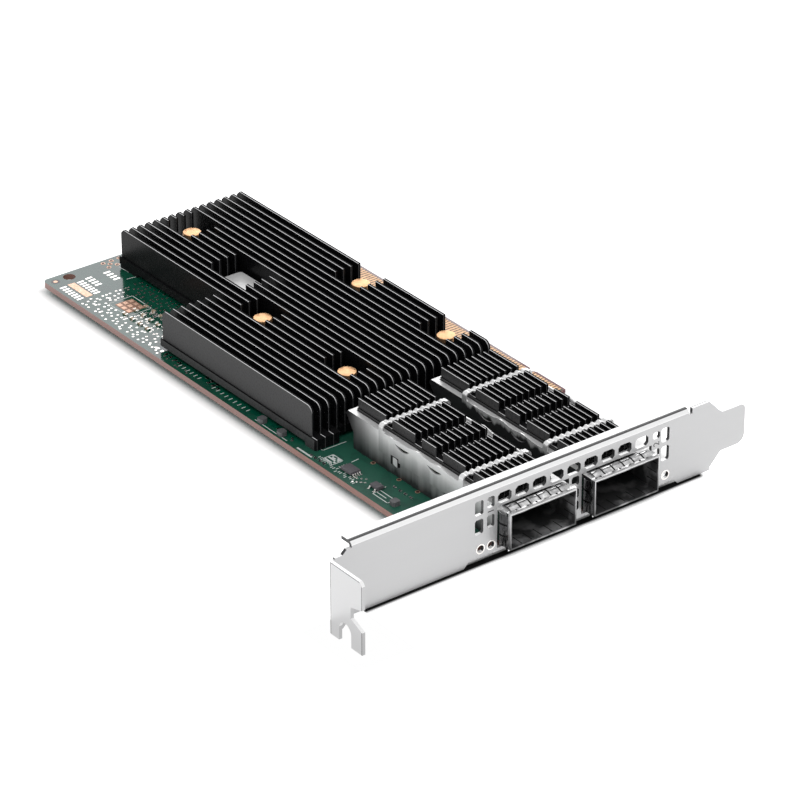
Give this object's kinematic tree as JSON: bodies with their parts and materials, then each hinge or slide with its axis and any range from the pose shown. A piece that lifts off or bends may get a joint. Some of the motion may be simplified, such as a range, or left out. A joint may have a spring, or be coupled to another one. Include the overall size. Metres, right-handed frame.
{
  "type": "network interface card",
  "caption": "Expansion card with an edge connector, port cages under riding heatsinks, a finned main heatsink and a full-height bracket.",
  "frame": {"origin": "centre of the edge connector's key notch, at the finger tips and half way through the board", "axes": "+X out of the edge connector, +Y along the board away from the bracket, +Z away from the component side of the board"},
  "size_m": [0.12, 0.181, 0.0211],
  "materials": {
    "board": "glossy green solder mask over glass fibre",
    "gold": "polished gold plating",
    "black_anodised": "satin black anodised",
    "bright_sheet": "bright nickel-plated sheet",
    "bracket_sheet": "satin nickel-plated sheet",
    "copper": "satin copper plating",
    "spring_steel": "drawn wire",
    "fastener_steel": "zinc plated",
    "black_plastic": "moulded black",
    "lamp_plastic": "clear moulded",
    "pad_grey": "soft grey pad",
    "ferrite": "dark grey ferrite",
    "ceramic": "tan ceramic with tinned ends",
    "resistor_black": "black glaze with tinned ends"
  },
  "bodies": {
    "root": {"board": "board", "edge_contacts": "gold", "controller_chip": "black_plastic", "thermal_pad": "pad_grey", "shield_can": "bright_sheet", "main_heatsink": "black_anodised", "heatsink_screws": "copper", "heatsink_springs": "spring_steel", "retainer_nuts": "fastener_steel", "port_cage_1": "bright_sheet", "port_cage_2": "bright_sheet", "finger_collar_1": "bright_sheet", "finger_collar_2": "bright_sheet", "riding_heatsink_1": "black_anodised", "riding_heatsink_2": "black_anodised", "heatsink_clip_1": "bright_sheet", "heatsink_clip_2": "bright_sheet", "port_socket_1": "black_plastic", "port_socket_2": "black_plastic", "bracket": "bracket_sheet", "bracket_screws": "fastener_steel", "status_lamps": "lamp_plastic", "memory_chip": "black_plastic", "regulator_chip": "black_plastic", "power_coils": "ferrite", "ceramic_capacitors": "ceramic", "chip_resistors": "resistor_black", "lower_capacitors": "ceramic"}
  },
  "joints": []
}
